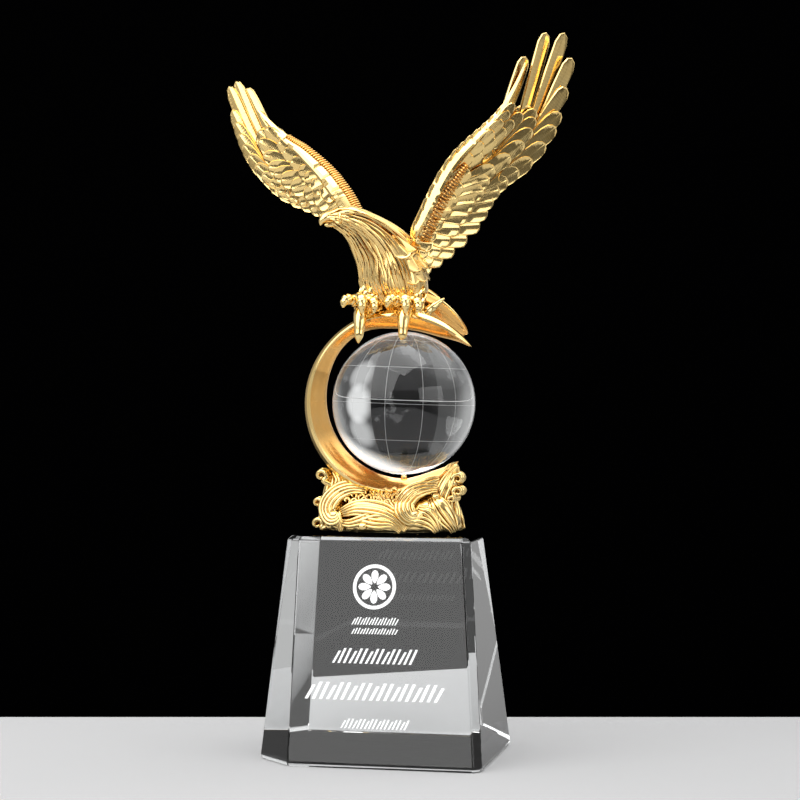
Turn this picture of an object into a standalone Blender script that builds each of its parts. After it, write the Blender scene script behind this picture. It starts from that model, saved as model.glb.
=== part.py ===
"""Eagle trophy: a gilt eagle on a crescent and waves, a crystal globe and a crystal plinth.

Metres, +Z up. The origin is the middle of the plinth's underside, the plinth's front is at -Y and the
viewer's right is +X. The gilt casting of waves and crescent stands on the plinth and carries the globe,
and the gilt eagle, a casting of its own, stands on top of the crescent.
"""
import math

import bmesh
import bpy
from mathutils import Matrix, Vector

# Fits
SEAT_GAP = 0.0003

# Crystal plinth: a tapered block with a wide cut at the front left corner
PLINTH_HEIGHT = 0.0927
PLINTH_FOOT_WIDTH = 0.0964
PLINTH_FOOT_DEPTH = 0.0824
PLINTH_TOP_WIDTH = 0.0789
PLINTH_TOP_DEPTH = 0.0401
FRONT_LEFT_CUT_FOOT = 0.0160
FRONT_LEFT_CUT_TOP = 0.0068
FRONT_RIGHT_CUT = 0.0030
REAR_CUT_FOOT = 0.0110
REAR_CUT_TOP = 0.0095
PLINTH_EDGE = 0.0018

# Crystal globe
GLOBE_RADIUS = 0.0302
GLOBE_LIFT = 0.0006
GLOBE_OFFSET = 0.0076

# Crescent: the outer rim is round, and the thickness follows the compass
RING_RADIUS = 0.0394
RING_FOOT = 0.0157
RING_OFFSET = 0.0053
RING_THICKNESS = 0.0088
RING_DEPTH = 0.0205
RING_START = math.radians(37)
RING_END = math.radians(317)
RING_STEPS = 36
RING_TUCK = 0.0040
HORN_DEPTH = 0.42
# Shares of RING_THICKNESS from the upper horn, over the top and the left side, to the lower horn
RING_TAPER = (0.05, 0.70, 0.90, 0.86, 0.66, 0.64, 0.78, 0.90, 0.99, 1.05, 1.04, 0.97, 0.86, 0.62, 0.06)
BOSS_RADIUS = 0.0019

# Wave base
BASE_WIDTH = 0.0672
BASE_OFFSET = 0.0011
BASE_DEPTH = 0.0340
MOUND_HEIGHT = 0.0190
MOUND_SIDES = 24
CRADLE_STEPS = 10
CURL_STEPS = 9
SWELL_DEPTH = 1.2

# Eagle: it keeps its proportions as shares of its own height above the crescent
EAGLE_HEIGHT = 0.1180
EAGLE_TURN = math.radians(12.5)
FEATHER_THICKNESS = 0.0022

# Fineness of the cast skins
GRAIN = 0.0006
EAGLE_TRIANGLES = 5800
WAVE_TRIANGLES = 2700

GOLD = (0.92, 0.60, 0.18, 1.0)
CRYSTAL = (0.94, 0.96, 0.97, 1.0)


def clear_scene():
    for old in list(bpy.data.objects):
        bpy.data.objects.remove(old, do_unlink=True)


def collection(name):
    made = bpy.data.collections.new(name)
    bpy.context.scene.collection.children.link(made)
    return made


def gold_material(name):
    material = bpy.data.materials.new(name)
    material.use_nodes = True
    shader = material.node_tree.nodes["Principled BSDF"]
    shader.inputs["Base Color"].default_value = GOLD
    shader.inputs["Metallic"].default_value = 1.0
    shader.inputs["Roughness"].default_value = 0.18
    return material


def crystal_material(name):
    material = bpy.data.materials.new(name)
    material.use_nodes = True
    shader = material.node_tree.nodes["Principled BSDF"]
    shader.inputs["Base Color"].default_value = CRYSTAL
    shader.inputs["Metallic"].default_value = 0.0
    shader.inputs["Roughness"].default_value = 0.02
    shader.inputs["IOR"].default_value = 1.52
    shader.inputs["Transmission Weight"].default_value = 1.0
    return material


def mesh_object(name, points, faces):
    mesh = bpy.data.meshes.new(name)
    mesh.from_pydata([tuple(p) for p in points], [], faces)
    mesh.update()
    return bpy.data.objects.new(name, mesh)


def smooth_through(keys, share):
    """A Catmull-Rom curve through the keys, each a number or a vector, read at a share from 0 to 1."""
    place = min(max(share, 0.0), 1.0) * (len(keys) - 1)
    low = min(int(place), len(keys) - 2)
    t = place - low
    b, c = keys[low], keys[low + 1]
    a = keys[low - 1] if low > 0 else b + (b - c)
    d = keys[low + 2] if low + 2 < len(keys) else c + (c - b)
    return ((b * 2) + (c - a) * t + (a * 2 - b * 5 + c * 4 - d) * t**2 + (b * 3 - a - c * 3 + d) * t**3) * 0.5


def loft(rings):
    """Closed skin over rings of equal point count, flat at both ends, faces outwards."""
    count = len(rings[0])
    points = [p for ring in rings for p in ring]
    faces = [list(reversed(range(count)))]
    for step in range(len(rings) - 1):
        for i in range(count):
            j = (i + 1) % count
            here, there = step * count, (step + 1) * count
            faces.append([here + i, here + j, there + j, there + i])
    faces.append([(len(rings) - 1) * count + i for i in range(count)])
    if signed_volume(points, faces) < 0:
        faces = [list(reversed(face)) for face in faces]
    return points, faces


def signed_volume(points, faces):
    """Positive where the faces point outwards."""
    total = 0.0
    for face in faces:
        for i in range(1, len(face) - 1):
            total += points[face[0]].dot(points[face[i]].cross(points[face[i + 1]]))
    return total / 6


def tube(points, radii, sides=6, flat=1.0, flutes=0.0):
    """A round bar of changing radius along points; flat squeezes it and flutes raises every second edge."""
    rings = []
    side = None
    for n, (centre, radius) in enumerate(zip(points, radii)):
        ahead = (points[min(n + 1, len(points) - 1)] - points[max(n - 1, 0)]).normalized()
        if side is None:
            side = ahead.cross(Vector((0.3, 1.0, 0.2))).normalized()
        side = (side - ahead * side.dot(ahead)).normalized()
        across = ahead.cross(side)
        ring = []
        for k in range(sides):
            turn = 2 * math.pi * k / sides
            reach = radius * (1 + (flutes if k % 2 else 0.0))
            ring.append(centre + side * (reach * math.cos(turn)) + across * (reach * flat * math.sin(turn)))
        rings.append(ring)
    return loft(rings)


def feather(root, tip, facing, width, thickness, sweep=0.0, roll=0.0):
    """One blade from root to tip: widest past its middle, round at the tip, with a raised quill line."""
    along = tip - root
    length = along.length
    along.normalize()
    across = along.cross(facing).normalized()
    across = (Matrix.Rotation(roll, 3, along) @ across).normalized()
    normal = across.cross(along).normalized()
    rings = []
    for t, spread in ((0.0, 0.62), (0.4, 0.92), (0.74, 1.0), (0.93, 0.80), (1.0, 0.42)):
        bend = sweep * length * (t - 1) * t
        centre = root + along * (length * t) + across * bend
        half = across * (width * 0.5 * spread)
        rise = normal * (thickness * 0.5 * (1.15 - 0.45 * t))
        rings.append([centre + half, centre + rise, centre - half, centre - rise])
    return loft(rings)


def gather(parts):
    """One list of points and faces from several."""
    points, faces = [], []
    for part_points, part_faces in parts:
        first = len(points)
        points.extend(part_points)
        faces.extend([[first + i for i in face] for face in part_faces])
    return points, faces


def turned(parts, matrix):
    return [([matrix @ p for p in points], faces) for points, faces in parts]


def finish_solid(obj, home, material):
    """Keeps the outer skin as one closed body, its faces outwards, and gives it its finish."""
    mesh = obj.data
    shape = bmesh.new()
    shape.from_mesh(mesh)
    bmesh.ops.remove_doubles(shape, verts=shape.verts, dist=0.000001)
    bmesh.ops.dissolve_degenerate(shape, edges=shape.edges, dist=0.000001)
    bmesh.ops.triangulate(shape, faces=shape.faces)
    keep_largest_body(shape)
    bmesh.ops.recalc_face_normals(shape, faces=shape.faces)
    shape.to_mesh(mesh)
    shape.free()
    mesh.materials.clear()
    mesh.materials.append(material)
    home.objects.link(obj)


def keep_largest_body(shape):
    bodies = []
    seen = set()
    for start in shape.verts:
        if start in seen:
            continue
        body, todo = [], [start]
        seen.add(start)
        while todo:
            here = todo.pop()
            body.append(here)
            for edge in here.link_edges:
                other = edge.other_vert(here)
                if other not in seen:
                    seen.add(other)
                    todo.append(other)
        bodies.append(body)
    bodies.sort(key=len)
    for body in bodies[:-1]:
        bmesh.ops.delete(shape, geom=body, context="VERTS")


def applied(obj):
    """The object's mesh with its modifiers carried out, and the object itself removed."""
    bpy.context.view_layer.update()
    evaluated = obj.evaluated_get(bpy.context.evaluated_depsgraph_get())
    mesh = bpy.data.meshes.new_from_object(evaluated)
    bpy.data.objects.remove(obj, do_unlink=True)
    return mesh


def fused(name, parts, grain, triangles, cuts):
    """Parts cast in one: their common skin at the given grain, brought down to a number of triangles, less the cuts."""
    raw = mesh_object(name, *gather(parts))
    bpy.context.scene.collection.objects.link(raw)
    skin = raw.modifiers.new("Skin", "REMESH")
    skin.mode = "VOXEL"
    skin.voxel_size = grain
    fine = bpy.data.objects.new(name, applied(raw))
    bpy.context.scene.collection.objects.link(fine)
    thin = fine.modifiers.new("Thin", "DECIMATE")
    thin.ratio = triangles / (2 * len(fine.data.polygons))
    thin.use_collapse_triangulate = True
    for cut in cuts:
        cut.hide_render = True
        cut.display_type = "WIRE"
        seat = fine.modifiers.new("Seat", "BOOLEAN")
        seat.operation = "DIFFERENCE"
        seat.solver = "EXACT"
        seat.object = cut
    return bpy.data.objects.new(name, applied(fine))


# Crystal plinth
def plinth_outline(share, inset=0.0):
    """Eight corners of the plinth at a share of its height, drawn in by inset."""
    def between(foot, top):
        return foot + (top - foot) * share

    half_width = between(PLINTH_FOOT_WIDTH, PLINTH_TOP_WIDTH) / 2 - inset
    half_depth = between(PLINTH_FOOT_DEPTH, PLINTH_TOP_DEPTH) / 2 - inset
    shrink = inset * (2 - math.sqrt(2))
    front_left = between(FRONT_LEFT_CUT_FOOT, FRONT_LEFT_CUT_TOP) - shrink
    front_right = FRONT_RIGHT_CUT - shrink
    rear = between(REAR_CUT_FOOT, REAR_CUT_TOP) - shrink
    height = PLINTH_HEIGHT * share
    corners = (
        (-half_width + front_left, -half_depth), (half_width - front_right, -half_depth),
        (half_width, -half_depth + front_right), (half_width, half_depth - rear),
        (half_width - rear, half_depth), (-half_width + rear, half_depth),
        (-half_width, half_depth - rear), (-half_width, -half_depth + front_left),
    )
    return [Vector((x, y, height)) for x, y in corners]


def make_plinth(home):
    edge_share = PLINTH_EDGE / PLINTH_HEIGHT
    rings = [
        plinth_outline(0.0, PLINTH_EDGE * 0.6), plinth_outline(edge_share),
        plinth_outline(1 - edge_share), plinth_outline(1.0, PLINTH_EDGE),
    ]
    plinth = mesh_object("crystal_plinth", *loft(rings))
    finish_solid(plinth, home, crystal_material("crystal_block"))


# Crystal globe
def globe_centre():
    """The globe's underside clears the crescent's full thickness by a small lift."""
    return Vector((GLOBE_OFFSET, 0.0, PLINTH_HEIGHT + RING_FOOT + RING_THICKNESS + GLOBE_LIFT + GLOBE_RADIUS))


def claimed(name):
    """The primitive just added, named and taken out of the scene's own collection."""
    made = bpy.context.object
    made.name = name
    made.data.name = name
    for owner in list(made.users_collection):
        owner.objects.unlink(made)
    return made


def sphere_object(name, radius, centre, segments, rings):
    bpy.ops.mesh.primitive_uv_sphere_add(segments=segments, ring_count=rings, radius=radius, location=centre)
    return claimed(name)


def make_globe(home):
    globe = sphere_object("crystal_globe", GLOBE_RADIUS, globe_centre(), 32, 16)
    globe.data.shade_smooth()
    finish_solid(globe, home, crystal_material("crystal_ball"))


# Wave base with the crescent
def ring_centre():
    """The crescent's lowest point stays RING_FOOT above the plinth."""
    return Vector((RING_OFFSET, 0.0, PLINTH_HEIGHT + RING_FOOT + RING_RADIUS))


def ring_section(share, grow=0.0):
    """Four edges of the crescent's section: outer rim, front ridge, inner rim and rear ridge."""
    angle = RING_START + (RING_END - RING_START) * share
    away = Vector((math.cos(angle), 0.0, math.sin(angle)))
    taper = smooth_through(RING_TAPER, share)
    thickness = RING_THICKNESS * taper
    depth = Vector((0.0, RING_DEPTH / 2 * min(taper, HORN_DEPTH + 0.9 * share) + grow * 1.6, 0.0))
    centre = ring_centre()
    rim = RING_RADIUS - RING_TUCK * max(0.0, (share - 0.85) / 0.15)
    outer = centre + away * (rim + grow * 1.6)
    ridge = centre + away * (rim - thickness * 0.30)
    inner = centre + away * (rim - thickness - grow * 1.6)
    return [outer, ridge - depth, inner, ridge + depth]


def crescent(grow=0.0):
    return loft([ring_section(n / RING_STEPS, grow) for n in range(RING_STEPS + 1)])


def base_point(x, y, z):
    """A point of the waves from shares of the base's width, depth and mound height."""
    return Vector((BASE_OFFSET + x * BASE_WIDTH, y * BASE_DEPTH, PLINTH_HEIGHT + z * MOUND_HEIGHT))


def mound():
    """The body of the waves: an oval that narrows as it rises under the crescent."""
    rings = []
    profile = ((-0.1, 1.0, 1.0), (0.12, 0.98, 0.97), (0.5, 0.90, 0.86), (0.82, 0.80, 0.60), (1.0, 0.64, 0.36))
    for share, width, depth in profile:
        turns = [2 * math.pi * k / MOUND_SIDES for k in range(MOUND_SIDES)]
        rings.append([base_point(width * math.cos(t) / 2, depth * math.sin(t) / 2, share) for t in turns])
    return loft(rings)


def cradle():
    """The swell that hugs the foot of the crescent, thickest under its middle."""
    points, sizes = [], []
    for n in range(CRADLE_STEPS + 1):
        angle = math.radians(218 + 104 * n / CRADLE_STEPS)
        away = Vector((math.cos(angle), 0.0, math.sin(angle)))
        points.append(ring_centre() + away * (RING_RADIUS - RING_THICKNESS * 0.1))
        sizes.append(MOUND_HEIGHT * (0.10 + 0.14 * math.sin(math.pi * n / CRADLE_STEPS)))
    return tube(points, sizes, sides=8, flat=1.6)


def curl(centre, radius, turn, start, tail, face):
    """A breaking wave: a bar that rises thick from its tail and rolls in on itself."""
    middle = base_point(centre[0], centre[1] * face, centre[2])
    root = base_point(tail[0], tail[1] * face, tail[2])
    size = radius * MOUND_HEIGHT
    roll = []
    for n in range(CURL_STEPS + 1):
        share = n / CURL_STEPS
        angle = math.radians(start) + turn * math.radians(380) * share
        reach = size * (1 - 0.75 * share)
        roll.append(middle + Vector((reach * math.cos(angle), 0.0, reach * math.sin(angle))))
    points = [root, root.lerp(roll[0], 0.55) + (roll[0] - roll[1]) * 0.3] + roll
    last = len(points) - 1
    radii = [size * (1.15 - 0.80 * math.sqrt(n / last)) for n in range(len(points))]
    return tube(points, radii, sides=6, flat=1.3)


def rib(start, end, bow, thick, face):
    """A long crest line on the face of the waves."""
    points = []
    for n in range(5):
        share = n / 4
        here = [a + (b - a) * share for a, b in zip(start, end)]
        points.append(base_point(here[0] + bow * math.sin(math.pi * share), here[1] * face, here[2]))
    sizes = [thick * MOUND_HEIGHT * s for s in (0.6, 1.0, 1.1, 0.9, 0.5)]
    return tube(points, sizes, sides=5)


# Each curl: its centre, radius, turn, starting angle and tail, in shares of the base and of the mound
CURLS = (
    ((-0.432, 0.12, 1.29), 0.155, 1, -60, (-0.34, 0.16, 0.45)),
    ((-0.444, 0.16, 0.70), 0.125, 1, -60, (-0.36, 0.20, 0.25)),
    ((-0.455, 0.22, 0.22), 0.130, 1, -50, (-0.34, 0.30, 0.10)),
    ((-0.320, 0.36, 0.47), 0.165, 1, -20, (-0.25, 0.30, 1.00)),
    ((-0.115, 0.46, 0.24), 0.095, -1, 200, (-0.02, 0.40, 0.12)),
    ((0.205, 0.42, 0.49), 0.150, 1, -10, (0.27, 0.30, 0.98)),
    ((0.478, 0.10, 1.22), 0.150, -1, 240, (0.40, 0.14, 0.50)),
    ((0.450, 0.18, 0.86), 0.120, -1, 240, (0.38, 0.22, 0.40)),
)


def shoulder(line, sizes):
    """A swell beside the crescent that carries the outer curls."""
    points = [base_point(x, 0.0, z) for x, z in line]
    return tube(points, [size * MOUND_HEIGHT for size in sizes], sides=10, flat=SWELL_DEPTH)


def wave_parts():
    """Two swells, then curls and crest lines, the same on the front and the rear face."""
    parts = [
        shoulder(((-0.31, 0.20), (-0.335, 0.70), (-0.350, 1.08), (-0.345, 1.30)), (0.52, 0.40, 0.30, 0.12)),
        shoulder(((0.34, 0.20), (0.365, 0.70), (0.395, 1.15), (0.425, 1.60)), (0.50, 0.40, 0.32, 0.12)),
    ]
    for face in (-1, 1):
        for centre, radius, turn, start, tail in CURLS:
            parts.append(curl(centre, radius, turn, start, tail, face))
        for n in range(5):
            fan = n / 4
            top = (-0.16 + 0.07 * fan, 0.36, 1.02)
            parts.append(rib(top, (-0.03 + 0.16 * fan, 0.46, 0.10), 0.02, 0.085, face))
        for n in range(4):
            fan = n / 3
            top = (0.30 + 0.045 * fan, 0.28, 1.10)
            parts.append(rib(top, (0.27 + 0.19 * fan, 0.40 - 0.10 * fan, 0.10), -0.015, 0.09, face))
    return parts


def boss():
    """The small seat under the globe, its top cut to the globe's own curve."""
    low = ring_centre() + Vector((GLOBE_OFFSET - RING_OFFSET, 0.0, -RING_RADIUS + RING_THICKNESS * 0.5))
    high = globe_centre() + Vector((0.0, 0.0, -GLOBE_RADIUS * 0.97))
    return tube([low, high], [BOSS_RADIUS, BOSS_RADIUS], sides=8)


def make_wave_base(home, cutters_home):
    seat = sphere_object("globe_clearance", GLOBE_RADIUS + SEAT_GAP, globe_centre(), 48, 24)
    cutters_home.objects.link(seat)
    bpy.ops.mesh.primitive_cube_add(size=1.0, location=(0.0, 0.0, PLINTH_HEIGHT + SEAT_GAP - PLINTH_HEIGHT / 2))
    floor = claimed("plinth_clearance")
    floor.data.transform(Matrix.Diagonal((PLINTH_FOOT_WIDTH, PLINTH_FOOT_DEPTH, PLINTH_HEIGHT, 1.0)))
    cutters_home.objects.link(floor)
    parts = [mound(), cradle(), crescent(), boss()] + wave_parts()
    base = fused("wave_base", parts, GRAIN, WAVE_TRIANGLES, [seat, floor])
    finish_solid(base, home, gold_material("gilt_waves"))
    return seat


# Eagle
def perch():
    return ring_centre().z + RING_RADIUS


def place(side, depth, height):
    """A point of the eagle from shares of its height: to the viewer's right, away, and up from its perch."""
    return Vector((side, depth, height)) * EAGLE_HEIGHT


SPINE = (
    (0.042, 0.034, -0.005), (0.040, 0.034, 0.035), (0.031, 0.028, 0.092), (0.020, 0.018, 0.150),
    (-0.010, 0.004, 0.205), (-0.050, -0.018, 0.252), (-0.090, -0.036, 0.290), (-0.124, -0.050, 0.312),
    (-0.155, -0.060, 0.322), (-0.178, -0.064, 0.324), (-0.196, -0.068, 0.325), (-0.214, -0.071, 0.322),
    (-0.226, -0.074, 0.312), (-0.231, -0.076, 0.298),
)
SPINE_RADII = (0.062, 0.094, 0.121, 0.124, 0.108, 0.086, 0.064, 0.051, 0.041, 0.032, 0.025, 0.019, 0.012, 0.004)


def body():
    points = [place(*key) for key in SPINE]
    radii = [r * EAGLE_HEIGHT for r in SPINE_RADII]
    return tube(points, radii, sides=20, flat=0.94, flutes=0.05)


def wing(arm, fingers, trailing, counts, cover_reach, widths, forward):
    """Arm, finger feathers, trailing feathers and two rows of coverts on each face of one wing."""
    arm = [place(*key) for key in arm]
    fingers = [place(*key) for key in fingers]
    trailing = [place(*key) for key in trailing]
    steps = 8
    line = [smooth_through(arm, n / steps) for n in range(steps + 1)]
    radii = [EAGLE_HEIGHT * (0.030 - 0.019 * n / steps) for n in range(steps + 1)]
    parts = [tube(line, radii, sides=6, flat=0.9)]
    span = (arm[-1] - arm[0]).normalized()
    chord = (trailing[len(trailing) // 2] - arm[len(arm) // 2]).normalized()
    facing = span.cross(chord).normalized() * forward
    thickness = FEATHER_THICKNESS
    for n, tip in enumerate(fingers):
        share = n / (len(fingers) - 1)
        root = smooth_through(arm, 1.0 - 0.17 * share)
        parts.append(feather(root - facing * 0.0003 * n, tip, facing, widths[0] * EAGLE_HEIGHT, thickness, 0.06, 0.12))
    flights = counts[0]
    for n in range(flights):
        share = n / (flights - 1)
        tip = smooth_through(trailing, share)
        root = smooth_through(arm, 0.82 * (1 - share) + 0.02)
        width = (widths[0] * (1 - share) + widths[1] * share) * EAGLE_HEIGHT
        parts.append(feather(root, tip, facing, width, thickness, 0.05, 0.14))
    for row, reach in enumerate(cover_reach):
        number = counts[row + 1]
        for face in (1, -1):
            for n in range(number):
                share = n / (number - 1)
                end = smooth_through(trailing, share * 0.97)
                root = smooth_through(arm, 0.88 * (1 - share) + 0.05)
                tip = root.lerp(end, reach)
                lift = facing * face * thickness * (0.42 + 0.36 * row)
                width = widths[1] * EAGLE_HEIGHT * (1.0 - 0.14 * row)
                parts.append(feather(root + lift * 0.6, tip + lift, facing, width, thickness, 0.04, 0.10 * face))
    return parts


def near_wing():
    arm = (
        (0.088, 0.040, 0.225), (0.124, 0.017, 0.335), (0.181, 0.000, 0.448), (0.238, -0.017, 0.533),
        (0.306, -0.025, 0.603), (0.377, -0.025, 0.671), (0.432, -0.017, 0.750),
    )
    fingers = (
        (0.503, -0.017, 0.901), (0.576, 0.008, 0.994), (0.642, 0.034, 1.000), (0.672, 0.051, 0.907),
        (0.655, 0.059, 0.801),
    )
    trailing = ((0.631, 0.068, 0.719), (0.541, 0.076, 0.575), (0.400, 0.085, 0.420), (0.291, 0.085, 0.272), (0.157, 0.068, 0.152))
    return wing(arm, fingers, trailing, (12, 10, 9), (0.66, 0.38), (0.070, 0.116), 1)


def far_wing():
    arm = (
        (-0.010, 0.060, 0.220), (-0.107, 0.076, 0.365), (-0.165, 0.102, 0.451), (-0.220, 0.127, 0.522),
        (-0.295, 0.161, 0.577), (-0.377, 0.195, 0.640), (-0.455, 0.222, 0.712),
    )
    fingers = ((-0.519, 0.237, 0.825), (-0.562, 0.263, 0.859), (-0.590, 0.280, 0.836), (-0.579, 0.288, 0.751))
    trailing = ((-0.541, 0.280, 0.650), (-0.460, 0.255, 0.520), (-0.350, 0.212, 0.418), (-0.236, 0.144, 0.342), (-0.120, 0.105, 0.235))
    return wing(arm, fingers, trailing, (10, 9, 8), (0.66, 0.38), (0.060, 0.108), -1)


def tail():
    parts = []
    for n in range(5):
        fan = n / 4
        root = place(0.095, 0.045 + 0.055 * fan, 0.078 - 0.010 * fan)
        tip = place(0.296 - 0.045 * fan, 0.120 + 0.165 * fan, -0.072 - 0.022 * fan)
        facing = Vector((0.40, -0.80 + 0.70 * fan, 0.50)).normalized()
        parts.append(feather(root, tip, facing, 0.074 * EAGLE_HEIGHT, FEATHER_THICKNESS * 1.3, 0.03, 0.08))
    return parts


def claw(points, thick):
    """A toe with its knuckle and hooked claw."""
    points = [place(*p) for p in points]
    line = [smooth_through(points, n / 7) for n in range(8)]
    shares = (1.0, 0.92, 1.12, 0.95, 1.05, 0.80, 0.50, 0.16)
    return tube(line, [thick * EAGLE_HEIGHT * s for s in shares], sides=6)


def legs():
    parts = []
    thigh = [place(-0.020, 0.010, 0.085), place(-0.055, -0.015, 0.035), place(-0.082, -0.040, 0.004)]
    parts.append(tube(thigh, [r * EAGLE_HEIGHT for r in (0.060, 0.042, 0.034)], sides=8))
    thigh = [place(0.078, 0.010, 0.085), place(0.080, -0.012, 0.035), place(0.070, -0.040, 0.004)]
    parts.append(tube(thigh, [r * EAGLE_HEIGHT for r in (0.060, 0.050, 0.036)], sides=8))
    for side, spread in ((-0.088, 1.0), (0.066, -1.0)):
        hub = (side, -0.048, 0.000)
        parts.append(claw([hub, (side - 0.030, -0.085, 0.034), (side - 0.056, -0.108, 0.030), (side - 0.066, -0.118, 0.004)], 0.021))
        parts.append(claw([hub, (side - 0.004, -0.092, 0.040), (side + 0.002, -0.122, 0.020), (side + 0.004, -0.132, -0.020)], 0.022))
        parts.append(claw([hub, (side + 0.032, -0.080, 0.030), (side + 0.046, -0.105, 0.014), (side + 0.044, -0.116, -0.016)], 0.021))
        parts.append(claw([hub, (side - 0.004, -0.095, -0.020), (side - 0.006, -0.112, -0.062), (side - 0.010, -0.118, -0.122)], 0.025))
    parts.append(claw([(0.080, 0.010, 0.010), (0.125, 0.020, -0.014), (0.165, 0.030, 0.012), (0.211, 0.040, 0.046)], 0.016))
    return parts


def make_eagle(home, cutters_home, globe_seat):
    stand = Matrix.Translation((0.0, 0.0, perch())) @ Matrix.Rotation(EAGLE_TURN, 4, "Z")
    parts = turned([body()] + near_wing() + far_wing() + tail() + legs(), stand)
    ring_seat = mesh_object("crescent_clearance", *crescent(SEAT_GAP))
    cutters_home.objects.link(ring_seat)
    eagle = fused("eagle", parts, GRAIN, EAGLE_TRIANGLES, [globe_seat, ring_seat])
    finish_solid(eagle, home, gold_material("gilt_eagle"))


def main():
    clear_scene()
    home = collection("eagle_trophy")
    cutters_home = collection("cutters")
    make_plinth(home)
    make_globe(home)
    globe_seat = make_wave_base(home, cutters_home)
    make_eagle(home, cutters_home, globe_seat)


main()
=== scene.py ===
import math
import random

import bmesh
import bpy
from mathutils import Matrix, Vector


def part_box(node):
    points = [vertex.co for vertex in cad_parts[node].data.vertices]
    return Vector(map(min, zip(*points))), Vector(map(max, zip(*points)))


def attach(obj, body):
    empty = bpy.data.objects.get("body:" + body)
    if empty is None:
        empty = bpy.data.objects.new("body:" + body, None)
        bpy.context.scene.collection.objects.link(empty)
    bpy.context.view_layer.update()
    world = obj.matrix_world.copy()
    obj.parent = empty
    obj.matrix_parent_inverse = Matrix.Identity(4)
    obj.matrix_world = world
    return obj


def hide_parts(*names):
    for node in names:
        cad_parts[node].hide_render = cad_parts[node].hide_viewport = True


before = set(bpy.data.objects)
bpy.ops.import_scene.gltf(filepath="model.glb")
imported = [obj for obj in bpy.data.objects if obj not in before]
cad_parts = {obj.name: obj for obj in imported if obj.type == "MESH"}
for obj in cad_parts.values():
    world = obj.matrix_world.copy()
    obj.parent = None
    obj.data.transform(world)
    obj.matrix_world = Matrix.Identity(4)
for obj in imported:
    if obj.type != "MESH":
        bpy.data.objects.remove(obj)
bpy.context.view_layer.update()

# The studio: a pale table that ends not far behind the trophy, a black cloth far behind it, a dim room
# with soft bright walls, and three large soft lamps. The camera stands a little to the right of the
# plinth's front, level with the middle of the crescent.
CAMERA_TURN = 0.219
CAMERA_DISTANCE = 0.9099
CAMERA_SIDE = 0.00577
CAMERA_HEIGHT = 0.1535
LENS = 96.9
HORIZON_DROP = 10 / 2153.3
TABLE_EDGE = 0.1
TABLE_FRONT = 1.3
TABLE_LEFT = 0.9
TABLE_RIGHT = 0.4
CLOTH_BEHIND = 1.3
CLOTH_WIDTH = 0.88
CLOTH_HEIGHT = 2.0
TABLE_PAINT = (0.42, 0.42, 0.425, 1.0)
CLOTH_PAINT = (0.0006, 0.0006, 0.0007, 1.0)
# The lamps: their place as the camera sees it (right, ahead, up), width, height and brightness
LAMPS = (
    ("lamp_key", -0.75, -0.75, 0.79, 1.2, 1.1, 2.4),
    ("lamp_fill", 0.85, -0.85, 0.42, 0.9, 0.5, 1.8),
    ("lamp_above", -0.15, -0.15, 1.2, 1.4, 1.0, 3.0),
)
LAMP_AIM = Vector((0.0, 0.0, 0.18))

view_right = Vector((math.cos(CAMERA_TURN), math.sin(CAMERA_TURN), 0.0))
view_ahead = Vector((-math.sin(CAMERA_TURN), math.cos(CAMERA_TURN), 0.0))
camera_data = bpy.data.cameras.new("studio_camera")
camera_data.lens = LENS
camera_data.sensor_width = 36.0
camera_data.clip_start = 0.01
camera_data.clip_end = 20.0
camera = bpy.data.objects.new("studio_camera", camera_data)
bpy.context.scene.collection.objects.link(camera)
bpy.context.scene.camera = camera
camera.location = view_right * CAMERA_SIDE - view_ahead * CAMERA_DISTANCE
camera.location.z = CAMERA_HEIGHT
camera.rotation_euler = (view_ahead - Vector((0.0, 0.0, HORIZON_DROP))).to_track_quat("-Z", "Y").to_euler()


def soft_lamp(name, right, ahead, up, width, height, brightness):
    """A rectangular soft lamp, turned to the trophy and hidden from the camera."""
    data = bpy.data.lights.new(name, "AREA")
    data.shape = "RECTANGLE"
    data.size = width
    data.size_y = height
    data.energy = brightness * math.pi * width * height
    lamp = bpy.data.objects.new(name, data)
    bpy.context.scene.collection.objects.link(lamp)
    lamp.location = view_right * right + view_ahead * ahead + Vector((0.0, 0.0, up))
    lamp.rotation_euler = (LAMP_AIM - lamp.location).to_track_quat("-Z", "Y").to_euler()
    lamp.visible_camera = False


for lamp_values in LAMPS:
    soft_lamp(*lamp_values)


class Wire:
    """One socket of a material, so that shader maths is written as plain expressions."""

    def __init__(self, tree, socket):
        self.tree = tree
        self.socket = socket

    def maths(self, operation, first, second):
        node = self.tree.nodes.new("ShaderNodeMath")
        node.operation = operation
        for slot, value in enumerate((first, second)):
            if isinstance(value, Wire):
                self.tree.links.new(value.socket, node.inputs[slot])
            else:
                node.inputs[slot].default_value = value
        return Wire(self.tree, node.outputs[0])

    def __add__(self, other):
        return self.maths("ADD", self, other)

    def __mul__(self, other):
        return self.maths("MULTIPLY", self, other)

    def __gt__(self, other):
        return self.maths("GREATER_THAN", self, other)


class Wiring:
    """A node tree, with one method that adds any node."""

    def __init__(self, tree):
        self.tree = tree

    def node(self, kind, output=0, settings=None, **sockets):
        """A node: its settings, its sockets by name or by i and a number, and one output."""
        made = self.tree.nodes.new("ShaderNode" + kind)
        for label, value in (settings or {}).items():
            setattr(made, label, value)
        for label, value in sockets.items():
            numbered = label[0] == "i" and label[1:].isdigit()
            socket = made.inputs[int(label[1:])] if numbered else made.inputs[label.replace("_", " ")]
            if isinstance(value, Wire):
                self.tree.links.new(value.socket, socket)
            else:
                socket.default_value = value
        return Wire(self.tree, made.outputs[output])


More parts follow.
